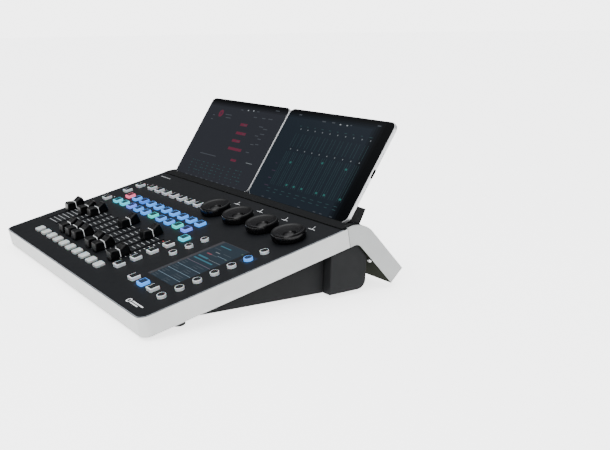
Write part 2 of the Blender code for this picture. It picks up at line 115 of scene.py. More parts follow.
def loft(bm, rows, close_ends=True, slot=0):
    """Skins closed outlines of equal length, each a list of (x, y, z) in millimetres."""
    rings = [[bm.verts.new(Vector(p) * MM) for p in row] for row in rows]
    faces = []
    for a, b in zip(rings, rings[1:]):
        for i in range(len(a)):
            j = (i + 1) % len(a)
            faces.append(bm.faces.new((a[i], a[j], b[j], b[i])))
    if close_ends:
        faces += [bm.faces.new(rings[0][::-1]), bm.faces.new(rings[-1])]
    for face in faces:
        face.material_index = slot
    return faces


def inset(points, depth):
    """The outline moved inwards by depth, corner by corner."""
    area = sum(a[0] * b[1] - b[0] * a[1] for a, b in zip(points, points[1:] + points[:1]))
    turn = 1 if area > 0 else -1
    moved = []
    for i, here in enumerate(points):
        before, after = Vector(points[i - 1]), Vector(points[(i + 1) % len(points)])
        here = Vector(here)
        one, two = (here - before).normalized(), (after - here).normalized()
        n1, n2 = Vector((-one.y, one.x)) * turn, Vector((-two.y, two.x)) * turn
        middle = n1 + n2
        if middle.length < 1e-6:
            middle = n1
        middle.normalize()
        moved.append(tuple(here + middle * depth / max(0.5, middle.dot(n1))))
    return moved


def soft_rows(points, low, high, axis, edge, steps, low_edge=None):
    """Rows for a prism whose ends are rounded over with radius edge, or low_edge at the low end."""
    rows = []
    low_edge = edge if low_edge is None else low_edge
    for i in range(steps + 1):
        t = QUARTER * i / steps
        if low_edge > 0 or i == steps:
            ring_points = inset(points, low_edge * (1 - math.sin(t)))
            rows.append([place(axis, a, b, low + low_edge * (1 - math.cos(t))) for a, b in ring_points])
    for i in range(steps + 1):
        t = QUARTER * i / steps
        if edge > 0 or i == 0:
            ring_points = inset(points, edge * (1 - math.cos(t)))
            rows.append([place(axis, a, b, high - edge * (1 - math.sin(t))) for a, b in ring_points])
    return rows


def soft_prism(points, low, high, axis="z", edge=0.5, steps=4):
    bm = bmesh.new()
    loft(bm, soft_rows(points, low, high, axis, edge, steps))
    return to_object(bm)


def slab(bm, points, low, high, slot=0):
    """An upright prism added to a mesh in the making."""
    loft(bm, [[(x, y, z) for x, y in points] for z in (low, high)], slot=slot)


def prism(points, low, high, axis="z"):
    bm = bmesh.new()
    loft(bm, [[place(axis, a, b, c) for a, b in points] for c in (low, high)])
    return to_object(bm)


def box(x0, x1, y0, y1, z0, z1):
    return prism([(x0, y0), (x1, y0), (x1, y1), (x0, y1)], z0, z1)


def arc(cx, cy, r, a0, a1, n):
    return [
        (cx + r * math.cos(a0 + (a1 - a0) * i / n), cy + r * math.sin(a0 + (a1 - a0) * i / n))
        for i in range(n + 1)
    ]


def circle(cx, cy, r, n):
    return arc(cx, cy, r, 0, 2 * math.pi * (n - 1) / n, n - 1)


def rounded_rect(x0, x1, y0, y1, r, n=6):
    corners = ((x1 - r, y1 - r), (x0 + r, y1 - r), (x0 + r, y0 + r), (x1 - r, y0 + r))
    points = []
    for i, (cx, cy) in enumerate(corners):
        points += arc(cx, cy, r, i * QUARTER, (i + 1) * QUARTER, n)
    return points


def corner(before, here, after, reach, n):
    """The arc-like curve that takes a corner's place, beginning and ending reach away from it."""
    start, end = here + (before - here).normalized() * reach, here + (after - here).normalized() * reach
    return [tuple(start * (1 - t) ** 2 + here * 2 * t * (1 - t) + end * t * t)
            for t in (k / n for k in range(n + 1))]


def rounded_polygon(points, radius, n=5):
    """The polygon with each corner replaced by a curve."""
    out = []
    for i, here in enumerate(points):
        before, here, after = Vector(points[i - 1]), Vector(here), Vector(points[(i + 1) % len(points)])
        reach = min(radius, 0.45 * (before - here).length, 0.45 * (after - here).length)
        out += corner(before, here, after, reach, n)
    return out


def lathe_into(bm, profile, segments, at=(0, 0), slot=0):
    """A solid of revolution about z from (radius, z) points that start and end on the axis."""
    rows = []
    for r, z in profile:
        if r == 0:
            rows.append([bm.verts.new(Vector((*at, z)) * MM)])
        else:
            rows.append([bm.verts.new(Vector((x, y, z)) * MM) for x, y in circle(*at, r, segments)])
    for a, b in zip(rows, rows[1:]):
        for i in range(segments):
            j = (i + 1) % segments
            face = list(dict.fromkeys([a[i % len(a)], a[j % len(a)], b[j % len(b)], b[i % len(b)]]))
            bm.faces.new(face).material_index = slot


def lathe(profile, segments):
    bm = bmesh.new()
    lathe_into(bm, profile, segments)
    return to_object(bm)


def smooth_profile(points, rounds, n=4):
    """(radius, z) points with the corners named in rounds {index: radius} turned into curves."""
    out = []
    for i, p in enumerate(points):
        if i not in rounds:
            out.append(p)
            continue
        out += corner(*(Vector(points[k]) for k in (i - 1, i, i + 1)), rounds[i], n)
    return out


def moved(obj, x, y):
    obj.data.transform(Matrix.Translation(Vector((x, y, 0)) * MM))
    return obj


def combine(base, others, operation):
    """The base mesh with its modifiers and a Boolean for each of the others applied."""
    for other in others:
        modifier = base.modifiers.new("shape", "BOOLEAN")
        modifier.operation = operation
        modifier.solver = "EXACT"
        modifier.object = other
    bpy.context.view_layer.update()
    mesh = bpy.data.meshes.new_from_object(base.evaluated_get(bpy.context.evaluated_depsgraph_get()))
    base.modifiers.clear()
    base.data = mesh
    for other in others:
        bpy.data.objects.remove(other, do_unlink=True)
    return base


def cut(base, *others):
    return combine(base, others, "DIFFERENCE")


def join(base, *others):
    return combine(base, others, "UNION")


def rounded_edges(obj, width, segments=2, angle=35):
    bevel = obj.modifiers.new("edges", "BEVEL")
    bevel.width = width * MM
    bevel.segments = segments
    bevel.limit_method = "ANGLE"
    bevel.angle_limit = math.radians(angle)
    bevel.use_clamp_overlap = True
    return combine(obj, [], "UNION")


def show(obj, name, materials, body="desk", nodes=(), at=SLOPE, sharp=32, weighted=True,
         pick=None):
    """Puts a piece in its frame, dresses it, ties it to its body and hides the CAD nodes it stands for.

    pick, when given, names each face's material by its place in the list.
    """
    obj.name = obj.data.name = name
    for look in materials if isinstance(materials, (list, tuple)) else [materials]:
        obj.data.materials.append(look)
    for face in obj.data.polygons if pick else ():
        face.material_index = pick(face)
    obj.data.transform(at)
    obj.data.shade_smooth()
    obj.data.set_sharp_from_angle(angle=math.radians(sharp))
    if weighted:
        modifier = obj.modifiers.new("normals", "WEIGHTED_NORMAL")
        modifier.keep_sharp = True
    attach(obj, body)
    if nodes:
        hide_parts(*nodes)
    return obj


# ---------------------------------------------------------------- materials


def fill(node, values):
    for key, value in values.items():
        node.inputs[key].default_value = value


def map_range(tree, source, start, end, low, high):
    """The node output that turns start..end of the source into low..high."""
    made = tree.nodes.new("ShaderNodeMapRange")
    fill(made, {"From Min": start, "From Max": end, "To Min": low, "To Max": high})
    tree.links.new(source, made.inputs["Value"])
    return made.outputs["Result"]


def look(name, colour, rough, metallic=0.0, specular=0.5, vary=0.0, vary_scale=40.0, rough_vary=0.0,
         grain=0.0, grain_scale=2500.0, coat=0.0, glow=None, glow_strength=0.0, edge_lightening=0.0,
         edge_colour=(0.5, 0.5, 0.5), scatter=0.0, stretch=(1, 1, 1)):
    """A procedural finish: colour and roughness that drift a little, a fine grain and convex edges made
    lighter in patches.
    """
    material = bpy.data.materials.new(name)
    material.use_nodes = True
    tree = material.node_tree
    shader = tree.nodes["Principled BSDF"]

    def node(kind, **values):
        made = tree.nodes.new(kind)
        for key, value in values.items():
            setattr(made, key, value)
        return made

    coords = node("ShaderNodeTexCoord")
    mapping = node("ShaderNodeMapping")
    fill(mapping, {"Scale": stretch})
    tree.links.new(coords.outputs["Object"], mapping.inputs["Vector"])

    def noise(scale, detail=3.0):
        made = node("ShaderNodeTexNoise")
        fill(made, {"Scale": scale, "Detail": detail})
        tree.links.new(mapping.outputs["Vector"], made.inputs["Vector"])
        return made.outputs["Fac"]

    def ranged(source, low, high, start=0.3, end=0.7):
        return map_range(tree, source, start, end, low, high)

    fill(shader, {"Base Color": (*colour, 1), "Roughness": rough, "Metallic": metallic,
                  "Specular IOR Level": specular, "Coat Weight": coat, "Coat Roughness": 0.3,
                  "Subsurface Weight": scatter, "Subsurface Scale": 0.002})
    if glow:
        fill(shader, {"Emission Color": (*glow, 1), "Emission Strength": glow_strength})
    if vary or edge_lightening:
        mix = node("ShaderNodeMix", data_type="RGBA")
        fill(mix, {6: (*[c * (1 - vary) for c in colour], 1),
                   7: (*[min(1, c * (1 + vary)) for c in colour], 1)})
        tree.links.new(ranged(noise(vary_scale, 5.0), 0, 1), mix.inputs[0])
        last = mix.outputs[2]
        # convex edges made a little lighter, in patches where the noise allows
        if edge_lightening:
            lightened = node("ShaderNodeMix", data_type="RGBA")
            fill(lightened, {7: (*edge_colour, 1)})
            edges = ranged(node("ShaderNodeNewGeometry").outputs["Pointiness"], 0, edge_lightening, 0.53, 0.62)
            broken = node("ShaderNodeMath", operation="MULTIPLY")
            tree.links.new(edges, broken.inputs[0])
            tree.links.new(ranged(noise(180.0, 4.0), 0, 1, 0.35, 0.65), broken.inputs[1])
            tree.links.new(broken.outputs[0], lightened.inputs[0])
            tree.links.new(last, lightened.inputs[6])
            last = lightened.outputs[2]
        tree.links.new(last, shader.inputs["Base Color"])
    if rough_vary:
        drift = ranged(noise(vary_scale * 2.3, 4.0), rough - rough_vary, rough + rough_vary)
        tree.links.new(drift, shader.inputs["Roughness"])
    if grain:
        bump = node("ShaderNodeBump")
        fill(bump, {"Strength": 0.6, "Distance": grain * MM})
        tree.links.new(noise(grain_scale, 2.0), bump.inputs["Height"])
        tree.links.new(bump.outputs["Normal"], shader.inputs["Normal"])
    return material


PAINT = dict(metallic=0.3, vary=0.025, rough_vary=0.05, grain=0.012, grain_scale=1800)
SILVER = look("silver_paint", (0.56, 0.57, 0.56), 0.46, coat=0.15, **PAINT)
# the band's silver in a darker copy: painted shade on the rear cover, where the light falls off towards the
# back
SILVER_PAINTED_SHADE = look("cover_silver_painted_shade", (0.40, 0.41, 0.405), 0.46, coat=0.1, **PAINT)
PANEL_COLOUR = (0.0066, 0.0072, 0.0084)
PANEL = look("panel_black", PANEL_COLOUR, 0.5, specular=0.06, vary=0.04, rough_vary=0.03, grain=0.012,
             grain_scale=3200)
# a light line painted along the band's top edge: a painted highlight where the rounded edge catches the light
RIM_HIGHLIGHT = look("rim_painted_highlight", (0.24, 0.26, 0.28), 0.4, specular=0.25, vary=0.05, rough_vary=0.05)
REST = look("rest_black", (0.0050, 0.0053, 0.0058), 0.5, specular=0.05, vary=0.06, rough_vary=0.05,
            grain=0.015)
# the housings' convex edges are made a little lighter in patches
CHARCOAL = look("charcoal_paint", (0.0165, 0.0172, 0.0180), 0.48, specular=0.06, vary=0.06,
                rough_vary=0.05, grain=0.02, grain_scale=1500, edge_lightening=0.1, edge_colour=(0.05, 0.05, 0.05))
# dark olive-grey painted on the hood's underside and inner walls: painted shade under the hood
HOOD_PAINTED_SHADE = look("hood_underside_painted_shade", (0.034, 0.036, 0.029), 0.9, specular=0.0, vary=0.08, rough_vary=0.05,
              grain=0.02)
KEY_DRIFT = dict(vary=0.04, vary_scale=300, rough_vary=0.05)
WHITE_KEY = look("key_white", (0.62, 0.66, 0.69), 0.38, scatter=0.2, **KEY_DRIFT)
PALE_KEY = look("key_pale", (0.40, 0.43, 0.43), 0.42, scatter=0.3, glow=(0.85, 0.95, 0.95),
                glow_strength=0.03, **KEY_DRIFT)
LENS_COLOUR, LENS_FINISH = (0.008, 0.0095, 0.011), dict(specular=0.15, vary=0.1, vary_scale=400)
LENS = look("key_lens", LENS_COLOUR, 0.25, rough_vary=0.06, **LENS_FINISH)
CAP = look("cap_black", (0.0020, 0.0021, 0.0024), 0.33, specular=0.17, vary=0.12, vary_scale=200,
           rough_vary=0.03)
WHEEL = look("wheel_black", (0.0018, 0.0018, 0.0021), 0.24, specular=0.2, vary=0.1, vary_scale=150,
             rough_vary=0.02)
PRINT = look("print_white", (0.66, 0.68, 0.69), 0.5, vary=0.08, vary_scale=600)
PRINT_DIM = look("print_grey", (0.44, 0.46, 0.47), 0.5, vary=0.08, vary_scale=600)
PRINT_RED = look("print_red", (0.55, 0.05, 0.05), 0.5, vary=0.08, vary_scale=600)
# near-black, partly the black inside of the tablet's port and partly painted shade in its depth
PORT_DARK_AND_SHADE = look("port_dark_and_painted_shade", (0.0015, 0.0015, 0.0015), 0.9, specular=0.0, vary=0.1)
GLASS = look("screen_glass", (0.0016, 0.002, 0.0024), 0.09, specular=0.10, vary=0.1, vary_scale=8,
             rough_vary=0.015)
TABLET = look("tablet_metal", (0.66, 0.67, 0.68), 0.36, metallic=0.45, vary=0.02, rough_vary=0.04,
              grain=0.006, grain_scale=5000)
SOCKET_BLACK = look("socket_black", (0.014, 0.014, 0.014), 0.42, vary=0.1, rough_vary=0.05, grain=0.02)
SOCKET_METAL = look("socket_metal", (0.52, 0.52, 0.52), 0.34, metallic=1.0, vary=0.06, rough_vary=0.08,
                    grain=0.01)
BOARD = look("board_green", (0.02, 0.09, 0.04), 0.45, vary=0.25, vary_scale=120, rough_vary=0.1,
             grain=0.03)
STEEL = look("steel", (0.56, 0.56, 0.56), 0.36, metallic=1.0, vary=0.05, rough_vary=0.1, grain=0.01,
             stretch=(1, 12, 1))
RUBBER = look("foot_rubber", (0.012, 0.012, 0.012), 0.75, specular=0.3, vary=0.15, rough_vary=0.08,
              grain=0.05, grain_scale=1400)

SPILL = (0.075, 0.042, 0.02, 0.009)  # strength of the light on the panel, ring by ring outwards
LENS_GLOW = 0.09
LENS_OF, SPILL_OF = {}, {}  # by the name of the lit key's material


def lit(name, colour, strength):
    """The body of a lit key, the lens on it and the rings of light it throws on the panel."""
    body = look(name, [0.02 + 0.42 * c for c in colour], 0.4, vary=0.05, vary_scale=300, glow=colour,
                glow_strength=strength)
    LENS_OF[name] = look(f"{name}_lens", LENS_COLOUR, 0.25, glow=colour, glow_strength=LENS_GLOW,
                         **LENS_FINISH)
    SPILL_OF[name] = [look(f"{name}_spill_{k}", PANEL_COLOUR, 0.5, specular=0.06, vary=0.04, glow=colour,
                           glow_strength=share) for k, share in enumerate(SPILL)]
    return body


BLUE = lit("key_blue", (0.05, 0.32, 1.0), 1.35)
DEEP = lit("key_deep_blue", (0.03, 0.20, 0.85), 1.2)
CYAN = lit("key_cyan", (0.03, 0.62, 0.80), 1.3)
TEAL = lit("key_teal", (0.02, 0.66, 0.62), 1.25)
RED = lit("key_red", (1.0, 0.15, 0.28), 1.2)
VIOLET = lit("key_violet", (0.12, 0.24, 1.0), 1.3)


# ---------------------------------------------------------------- frame, cover and housings


def u_line(half, front, rear, radius, n):
    """A U seen from above, from its right rear end round the front to its left rear end."""
    right = arc(half - radius, front + radius, radius, 0, -QUARTER, n)
    left = arc(-half + radius, front + radius, radius, -QUARTER, -math.pi, n)
    return [(half, rear), *right, *left, (-half, rear)]


def u_outline(half, front, rear, radius, wall):
    """The U of the frame: outer line, then inner line back."""
    inner = u_line(half - wall, front + wall, rear, radius - wall, 12)
    return u_line(half, front, rear, radius, 12) + inner[::-1]


def front_frame():
    """The silver band, black on its upper edge, and a thin light line round the panel, a painted highlight
    along the band's top edge.
    """
    outline = u_outline(HALF_W, FRONT_Y, SEAM_Y, CORNER_R, WALL)
    bm = bmesh.new()
    loft(bm, soft_rows(outline, -BAND, 0, "z", EDGE, 3))
    bm.normal_update()
    for face in bm.faces:
        if face.calc_center_median().z > -(EDGE + 0.01) * MM:
            face.material_index = 1
    show(to_object(bm), "frame_band", [SILVER, PANEL], nodes=["front_frame"])
    # the painted highlight along the band's top edge
    line = u_outline(HALF_W - EDGE, FRONT_Y + EDGE, PANEL_REAR, CORNER_R - EDGE, 0.9)
    show(prism(line, -0.2, 0.03), "rim_highlight_line", RIM_HIGHLIGHT, weighted=False)


def hood_profile(outer, inner, start, tip_in, n):
    """The side of the cover and hood, with its outer and inner faces and its tip moved inwards."""
    top, low = BEND_R - outer, BEND_R - BAND + inner
    run = RUN * (HOOD_LEN - tip_in)
    points = [(start, top - BEND_R)]
    points += arc(BEND_Y, -BEND_R, top, QUARTER, QUARTER - BEND, n)
    points += [tuple(BEND_AT + OUTWARD * radius + run) for radius in (top, low)]
    points += arc(BEND_Y, -BEND_R, low, QUARTER - BEND, QUARTER, n)
    points.append((start, low - BEND_R))
    return points


def rear_cover():
    """The cover in a darker copy of the band's silver as painted shade, hollow, open on top for the tablets
    and painted dark on its underside as the shade under the hood.
    """
    outline = hood_profile(0, 0, SEAM_Y + 0.4, 0, 28)
    cover = soft_prism(outline, -HALF_W, HALF_W, "x", EDGE, 3)
    inner, mouth, mouth_rear = HALF_W - WALL, 215.7, 263.0
    cover = cut(
        cover,
        prism(hood_profile(WALL, WALL, SEAM_Y - 10, WALL, 20), -inner, inner, "x"),
        box(-mouth, mouth, SEAM_Y - 5, mouth_rear, -12, 5),
    )
    outward, bend = Vector((0, *OUTWARD)), Vector((0, *BEND_AT)) * MM

    # the faces under the hood and its inner walls, which take the painted shade
    def painted_shade_face(face):
        spot, turned = face.center, face.normal
        under = turned.dot(outward) < -0.5 and (spot - bend).dot(outward) < (BEND_R - BAND + 1.0) * MM
        return int(under or (abs(turned.x) > 0.9 and abs(spot.x) < (HALF_W - WALL - 0.4) * MM))

    show(cover, "cover_band", [SILVER_PAINTED_SHADE, HOOD_PAINTED_SHADE], nodes=["rear_cover"], pick=painted_shade_face)


def to_slope(y, z):
    c, s = math.cos(TILT), math.sin(TILT)
    return (y * c + z * s, -y * s + z * c)


def to_level(y, z):
    c, s = math.cos(TILT), math.sin(TILT)
    return (y * c - z * s, y * s + z * c)


def base_housing():
    """The wedge under the panel, joined to the flange that closes the frame from below."""
    shell = 2.3
    flange = soft_prism(u_line(BLOCK_HALF, FRONT_Y + 3.1, 215.4, 8.7, 10), -23.7, -22.4, "z", 0.2, 2)
    corners = ((4.0, -21.75), (214.8, -28.05), (214.8, 25.0))
    low_front, low_rear, top_rear = (to_slope(*corner) for corner in corners)
    tub = soft_prism([low_front, low_rear, top_rear], -TUB_HALF, TUB_HALF, "x", 1.6, 4)
    tub = cut(tub, box(-230, 230, -50, 320, -23.0, 60))
    depth = Vector(low_rear) - Vector(low_front)
    inward = Vector((-depth.y, depth.x)).normalized() * shell
    start, end = Vector(low_front) + inward, Vector(low_front) + inward + depth * 1.2
    inner = [tuple(start), tuple(end), (end.x, 60.0), (start.x, 60.0)]
    housing = cut(join(flange, tub), prism(inner, -TUB_HALF + shell, TUB_HALF - shell, "x"))
    show(housing, "base_shell", CHARCOAL, nodes=["base_housing"])


def block_profile(depth):
    """The side of the rear block, moved inwards by depth; its top follows the underside of the hood."""
    r, n = BLOCK_R - depth, 14
    front, rear, low = BLOCK_FRONT + depth, BLOCK_REAR - depth, BLOCK_LOW + depth
    radius = BEND_R - BAND - 0.4 - depth
    start = BEND_AT + OUTWARD * radius
    y0, y1 = to_level(*start)[0], to_level(*(start + RUN))[0]
    points = [(front, low)] + arc(rear - r, low + r, r, 1.5 * math.pi, 2 * math.pi, n)
    points.append(to_level(*(start + RUN * ((rear - y0) / (y1 - y0)))))
    points += [to_level(*p) for p in arc(BEND_Y, -BEND_R, radius, QUARTER - BEND, QUARTER, n)]
    points.append((front, front * math.tan(TILT) + (radius - BEND_R) / math.cos(TILT)))
    return points


SOCKET_HOLES = ((-158.0, 29.0, 21.5), (-112.0, 13.6, 20.4), (42.0, 17.6, 15.6), (78.0, 14.6, 8.0))
ROUND_HOLES, ROUND_HOLE_R, BLOCK_WALL = (-60.0, -18.0), 12.0, 2.8


def rear_housing():
    block = soft_prism(block_profile(0), -BLOCK_HALF, BLOCK_HALF, "x", 1.1, 4)
    hollow = prism(block_profile(BLOCK_WALL), -BLOCK_HALF + BLOCK_WALL, BLOCK_HALF - BLOCK_WALL, "x")
    cutters = [box(-202, 202, BLOCK_FRONT - 5, BLOCK_FRONT + 8, BLOCK_LOW + 3.0, 12)]
    for x, w, h in SOCKET_HOLES:
        low, high = REAR_Z - h / 2, REAR_Z + h / 2
        cutters.append(box(x - w / 2, x + w / 2, BLOCK_REAR - 6, BLOCK_REAR + 6, low, high))
    for x in ROUND_HOLES:
        cutters.append(prism(circle(x, REAR_Z, ROUND_HOLE_R, 40), BLOCK_REAR - 6, BLOCK_REAR + 6, "y"))
    show(cut(cut(block, hollow), *cutters), "rear_block", CHARCOAL,
         nodes=["rear_housing"], at=LEVEL)


FEET = (("front", 190, 26.5, -23.0), ("rear", 176, 243, BLOCK_LOW - 0.3))
FOOT_R, FOOT_UNDER_R = 9.0, 7.6
SCREW_R, SCREW_HEAD, SCREW_DOWN = 2.6, 2.2, 27  # radius, height and way down the hood


def feet_and_screws():
    sides = (("left", -1), ("right", 1))
    for side, sx in sides:
        for end, x, y, top in FEET:
            profile = [(0, -Z_SHIFT), (FOOT_UNDER_R, -Z_SHIFT), (FOOT_R, -Z_SHIFT + 1.2), (FOOT_R, top),
                       (0, top)]
            bm = bmesh.new()
            lathe_into(bm, smooth_profile(profile, {2: 0.5, 1: 0.5}, 3), 48, (sx * x, y))
            show(to_object(bm), f"foot_pad_{end}_{side}", RUBBER,
                 nodes=[f"foot_{end}_{side}"], at=LEVEL)
    spot = BEND_AT + OUTWARD * (BEND_R - BAND - 0.3) + RUN * SCREW_DOWN
    profile = [(0, 0), (SCREW_R, 0), (SCREW_R, 1.5), (2.0, SCREW_HEAD), (0, SCREW_HEAD)]
    for side, sx in sides:
        head = lathe(smooth_profile(profile, {2: 0.4, 3: 0.4}), 36)
        head = cut(head, prism(circle(0, 0, 1.15, 6), 1.2, 4))
        turn = Matrix.Translation(Vector((sx * (HALF_W - 4.4), *spot)) * MM)
        turn = turn @ Matrix.Rotation(math.pi - BEND, 4, "X")
        show(head, f"screw_head_{side}", STEEL, nodes=[f"hood_screw_{side}"], at=SLOPE @ turn)


# ---------------------------------------------------------------- panel, keys and marks

SMALL = 6.1  # half the side of a square key
KEY_TOP, ROUND_TOP, FLASH_TOP, KEY_FOOT = 3.1, 2.9, 2.25, -4.6
MAT_LOW, MAT_HIGH, MAT_RIM = -5.0, -3.6, 1.7
KEY_GAP = 0.45  # between a key and its opening
MASTER_X = x_of(-1.36)

# each row or single key: shape, half the key's width, and the keys' middles
KEYS = {
    "flash_keys": ("flash", 6.6, [(x_of(i), 0.0) for i in range(10)]),
    "playback_keys_front": ("square", SMALL, [(x_of(i), 125.3) for i in range(10)]),
    "playback_keys_rear": ("square", SMALL, [(x_of(i), 146.5) for i in range(10)]),
    "page_keys": ("square", SMALL, [(x_of(i), 184.6) for i in range(7)]),
    "cue_keys": ("round", 5.1, [(x_of(11.3), y) for y in (75.7, 98.4, 121.0)]),
    "screen_keys": ("round", 5.3, [(x_of(15.45), 8.1 + 22.5 * i) for i in range(7)]),
}
KEYS.update({f"function_key_{i + 1}": ("square", SMALL, [(x_of(10.08), 16.5 + 22.9 * i)]) for i in range(5)})
KEYS.update({f"menu_key_{i + 1}": ("square", SMALL, [(x_of(12.31 + 1.01 * i), 11.1)]) for i in range(3)})
for i, y in enumerate((121.4, 157.0, 179.8)):
    KEYS[f"master_key_{i + 1}"] = ("square", SMALL, [(MASTER_X, y)])

LIT = {
    "playback_keys_front": (CYAN, CYAN, VIOLET, BLUE, BLUE, TEAL, BLUE, BLUE, TEAL, VIOLET),
    "playback_keys_rear": (RED, BLUE, DEEP) + (BLUE,) * 7,
    "function_key_5": (CYAN,),
    "menu_key_2": (BLUE,),
    "screen_keys": (WHITE_KEY,) * 5 + (BLUE, WHITE_KEY),
}
DISPLAY = (x_of(12.27), x_of(14.76), 28.6, 134.6)


def key_body(bm, x, y, half, radius, top, edge, slot, crown=0.0):
    outline = rounded_rect(x - half, x + half, y - half, y + half, radius, 5)
    rows = [[(a, b, KEY_FOOT) for a, b in outline], [(a, b, top - edge) for a, b in inset(outline, 0.1)]]
    for i in range(1, 5):
        t = QUARTER * i / 4
        ring_points = inset(outline, 0.1 + edge * (1 - math.cos(t)))
        rows.append([(a, b, top - edge * (1 - math.sin(t))) for a, b in ring_points])
    if crown:
        for share, rise in ((0.6, 0.5), (0.25, 0.9)):
            z = top + crown * rise
            rows.append([(x + (a - x) * share, y + (b - y) * share, z) for a, b in ring_points])
    loft(bm, rows, slot=slot)


def washer(bm, x, y, inner, outer, slot):
    """A flat square ring with rounded corners, lying on the panel."""
    far, near = (rounded_rect(x - r, x + r, y - r, y + r, 0.35 * r, 5) for r in (outer, inner))
    z0, z1 = PANEL_TOP + 0.004, PANEL_TOP + 0.012
    rows = ((far, z0), (far, z1), (near, z1), (near, z0), (far, z0))
    loft(bm, [[(a, b, z) for a, b in ring] for ring, z in rows], close_ends=False, slot=slot)


def keys():
    """Each row of keys on its mat, with the lenses and the light that lit keys throw on the panel."""
    for name, (shape, half, spots) in KEYS.items():
        colours = LIT.get(name, ((PALE_KEY if shape == "flash" else WHITE_KEY),) * len(spots))
        palette = list(dict.fromkeys(colours))
        shells, lenses, spill = bmesh.new(), bmesh.new(), bmesh.new()
        xs, ys, rim = [spot[0] for spot in spots], [spot[1] for spot in spots], half + MAT_RIM
        mat = rounded_rect(min(xs) - rim, max(xs) + rim, min(ys) - rim, max(ys) + rim, 1, 3)
        slab(shells, mat, MAT_LOW, MAT_HIGH)
        for (x, y), colour in zip(spots, colours):
            slot = palette.index(colour)
            if shape == "flash":
                key_body(shells, x, y, half, 2.4, FLASH_TOP, 1.0, slot, crown=0.35)
            elif shape == "square":
                key_body(shells, x, y, half, 1.1, KEY_TOP, 0.5, slot)
                rear = 0.9 if colour.name in LENS_OF else 0.3
                reach, front = half - 1.25, half - 1.7
                outline = rounded_rect(x - reach, x + reach, y - front, y + half - rear, 0.7, 4)
                loft(lenses, soft_rows(outline, KEY_TOP - 0.5, KEY_TOP + 0.15, "z", 0.2, 3, 0), slot=slot)
            else:
                profile = [(0, 2.6), (half - 0.95, 2.6), (half - 0.6, ROUND_TOP), (half - 0.2, 2.7),
                           (half, 2.2), (half, KEY_FOOT), (0, KEY_FOOT)]
                lathe_into(shells, profile, 40, (x, y), slot)
                lens = [(0, ROUND_TOP), (half - 1.2, 2.85), (half - 0.85, 2.75), (half - 0.75, 2.5), (0, 2.5)]
                lathe_into(lenses, lens, 40, (x, y + 0.25), slot)
            if colour.name in SPILL_OF:
                for k in range(len(SPILL)):
                    inner = half + KEY_GAP + k
                    washer(spill, x, y, inner, inner + 1, len(SPILL) * slot + k)
        show(to_object(shells), f"{name}_shell", palette, body=name, nodes=[name])
        if lenses.faces:
            glasses = [LENS_OF.get(colour.name, LENS) for colour in palette]
            show(to_object(lenses), f"{name}_lens", glasses, body=name)
        if spill.faces:
            rings = [ring for c in palette for ring in SPILL_OF.get(c.name, [PANEL] * len(SPILL))]
            show(to_object(spill), f"{name}_spill", rings, weighted=False)


def top_panel():
    """The black sheet with an opening for every key, fader, wheel shaft and the display."""
    gap = WALL + 0.3  # from the outside of the frame to the edge of the sheet
    outline = u_line(HALF_W - gap, FRONT_Y + gap, PANEL_REAR, CORNER_R - gap, 10)
    panel = prism(outline, PANEL_UNDER, PANEL_TOP)
    holes = []
    for shape, half, spots in KEYS.values():
        for x, y in spots:
            hole = half + KEY_GAP
            if shape == "round":
                holes.append(circle(x, y, hole, 40))
            else:
                corner = 2.8 if shape == "flash" else 1.8
                holes.append(rounded_rect(x - hole, x + hole, y - hole, y + hole, corner, 4))
    for u in FADER_U:
        holes.append(rounded_rect(x_of(u) - 1.5, x_of(u) + 1.5, FADER_LOW - 5, FADER_HIGH + 5, 1.4, 4))
    holes += [circle(x_of(u), WHEEL_Y, 4.2, 24) for u in WHEEL_U]
    cutters = [prism(hole, CUT_LOW, CUT_HIGH) for hole in holes]
    panel = cut(panel, *cutters, box(*DISPLAY, CUT_LOW, CUT_HIGH))
    show(panel, "panel_sheet", PANEL, nodes=["top_panel"], weighted=False)


SCALE_ROWS, SCALE_START, SCALE_STEP = 10, 27.0, 6.75
MARK_X, MARK_Y = x_of(15.0), -19.5  # the generic mark in the front corner


def panel_marks():
    """Printed scales between the faders, the ticks behind the wheels and the small marks by the keys."""
    bm = bmesh.new()
    z0, z1 = PANEL_TOP + 0.01, PANEL_TOP + 0.06
    white, grey, red = 0, 1, 2

    def line(a, b, width, slot=white):
        a, b = Vector(a), Vector(b)
        side = Vector((-(b - a).y, (b - a).x)).normalized() * width / 2
        slab(bm, (a + side, a - side, b - side, b + side), z0, z1, slot)

    gaps = [(-1.56, -0.16)] + [(i + 0.17, i + 0.83) for i in range(9)]
    for row in range(SCALE_ROWS):
        y = SCALE_START + SCALE_STEP * row
        for k, (u0, u1) in enumerate(gaps):
            short = 2.5 if k else 1.5
            line((x_of(u0) + short, y), (x_of(u1) - short, y), 0.62, grey)
        line((x_of(9) + 3.4, y), (x_of(9) + 7.4, y), 0.75, red if row == SCALE_ROWS - 1 else white)
    for u in WHEEL_U:
        x, y = x_of(u) + 0.8, 217.4
        line((x - 6.0, y), (x + 6.0, y), 0.7)
        line((x, y + 0.4), (x - 2.6, y + 7.4), 0.7)
    outer, inner = (circle(MARK_X - 13.5, MARK_Y, r, 28) for r in (3.7, 2.3))
    for k in range(28):
        j = (k + 1) % 28
        slab(bm, (outer[k], outer[j], inner[j], inner[k]), z0, z1)
    for dy, length in ((1.6, 24.0), (-1.6, 17.0)):
        line((MARK_X - 8.0, MARK_Y + dy), (MARK_X - 8.0 + length, MARK_Y + dy), 1.7)
    line((-HALF_W + 14, PANEL_REAR - 11), (-HALF_W + 44, PANEL_REAR - 11), 1.0, grey)
    for y in (131.5, 189.5):
        line((MASTER_X + 3.5, y), (MASTER_X + 5.5, y), 1.6)
    show(to_object(bm), "panel_prints", [PRINT, PRINT_DIM, PRINT_RED], weighted=False)


